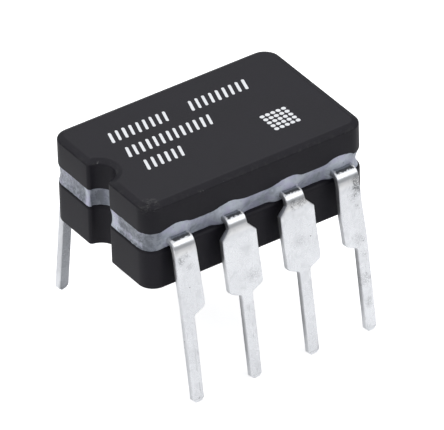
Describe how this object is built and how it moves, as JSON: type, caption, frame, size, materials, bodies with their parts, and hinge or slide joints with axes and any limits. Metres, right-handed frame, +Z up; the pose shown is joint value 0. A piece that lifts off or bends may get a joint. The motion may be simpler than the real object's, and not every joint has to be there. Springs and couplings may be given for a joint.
{
  "type": "ceramic dual in-line integrated circuit package",
  "caption": "Small black ceramic chip package sealed with grey glass, notched at one end, with two rows of bent tinned leads that fit a circuit board's holes.",
  "frame": {"origin": "centre between the two rows of leads, on the surface that the tips of the leads stand on", "axes": "+Z up through the lid, +X along the body away from its notched end, +Y towards the row of leads 5 to 8"},
  "size_m": [0.0096, 0.009, 0.0082],
  "materials": {
    "black_ceramic": "matte pressed alumina, almost black",
    "seal_glass": "opaque blue-grey sealing glass, satin and mottled",
    "tinned_lead": "iron-nickel strip with a matte tin coat",
    "silicon": "polished silicon with aluminium bond pads",
    "die_attach": "gold-coloured attach layer",
    "bond_wire": "drawn aluminium wire",
    "white_ink": "thin white marking ink on the lid"
  },
  "bodies": {
    "root": {"ceramic_base": "black_ceramic", "ceramic_lid": "black_ceramic", "seal_glass": "seal_glass", "lead_1": "tinned_lead", "lead_2": "tinned_lead", "lead_3": "tinned_lead", "lead_4": "tinned_lead", "lead_5": "tinned_lead", "lead_6": "tinned_lead", "lead_7": "tinned_lead", "lead_8": "tinned_lead", "silicon_die": "silicon", "die_attach": "die_attach", "bond_wire_1": "bond_wire", "bond_wire_2": "bond_wire", "bond_wire_3": "bond_wire", "bond_wire_4": "bond_wire", "bond_wire_5": "bond_wire", "bond_wire_6": "bond_wire", "bond_wire_7": "bond_wire", "bond_wire_8": "bond_wire"}
  },
  "joints": []
}
